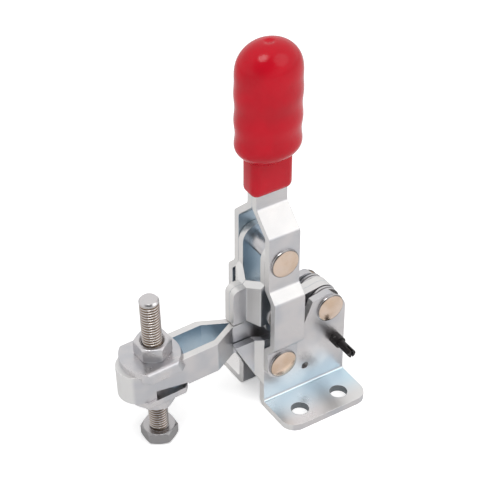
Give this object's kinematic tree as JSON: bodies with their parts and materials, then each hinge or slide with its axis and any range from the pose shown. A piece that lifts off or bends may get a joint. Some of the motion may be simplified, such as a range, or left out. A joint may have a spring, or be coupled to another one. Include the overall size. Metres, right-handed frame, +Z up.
{
  "type": "vertical toggle clamp",
  "caption": "Vertical-handle toggle clamp: flanged sheet base, over-centre link and lever, U-shaped clamping bar and an adjustable hexagon-head spindle.",
  "frame": {"origin": "centre of the four mounting holes, on the underside of the base flanges", "axes": "+Z up, the clamping bar points along -X, the lever stands upright when closed and opens towards +X"},
  "size_m": [0.0999, 0.0572, 0.1652],
  "materials": {
    "zinc_steel": "bright zinc plate",
    "rivet_steel": "satin, slightly yellowed",
    "black_steel": "black oxide",
    "red_plastic": "glossy moulded plastic"
  },
  "bodies": {
    "base": {"base_plate_near": "zinc_steel", "base_plate_far": "zinc_steel", "foot_post": "rivet_steel", "rear_rivet": "rivet_steel", "rear_washer_inner_near": "zinc_steel", "rear_washer_outer_near": "zinc_steel", "rear_washer_inner_far": "zinc_steel", "rear_washer_outer_far": "zinc_steel", "stop_pin": "black_steel"},
    "bar": {"clamp_bar": "zinc_steel"},
    "link": {"link_plate_near": "zinc_steel", "link_plate_far": "zinc_steel", "knee_rivet": "rivet_steel", "knee_washer_near": "zinc_steel", "knee_washer_far": "zinc_steel", "head_sleeve": "zinc_steel"},
    "lever": {"lever_plate_near": "zinc_steel", "lever_plate_far": "zinc_steel", "head_rivet": "rivet_steel", "foot_rivet_near": "rivet_steel", "foot_rivet_far": "rivet_steel", "grip": "red_plastic"},
    "spindle_set": {"saddle_washer": "zinc_steel", "flat_washer": "zinc_steel", "upper_nut": "zinc_steel", "lower_nut": "zinc_steel"},
    "spindle": {"spindle": "zinc_steel"}
  },
  "joints": [
    {"name": "bar_hinge", "type": "hinge", "parent": "base", "child": "bar", "pos_m": [0.0118, 0, 0.0387], "axis": [0, 1, 0], "range_deg": [0, 96.18]},
    {"name": "knee_hinge", "type": "hinge", "parent": "bar", "child": "link", "pos_m": [-0.012, 0, 0.046], "axis": [0, 1, 0], "range_deg": [0, 56]},
    {"name": "head_hinge", "type": "hinge", "parent": "link", "child": "lever", "pos_m": [-0.0128, 0, 0.0737], "axis": [0, 1, 0], "range_deg": [-79, 0]},
    {"name": "slot_slide", "type": "slide", "parent": "bar", "child": "spindle_set", "axis": [0.9994, 0, 0.0349], "range_m": [-0.0045, 0.018]},
    {"name": "spindle_slide", "type": "slide", "parent": "spindle_set", "child": "spindle", "axis": [-0.0349, 0, 0.9994], "range_m": [-0.018, 0.013]}
  ],
  "couplings": [
    {"joint": "knee_hinge", "follows": "bar_hinge", "ratio": 0.5692},
    {"joint": "head_hinge", "follows": "bar_hinge", "ratio": -0.8102}
  ]
}
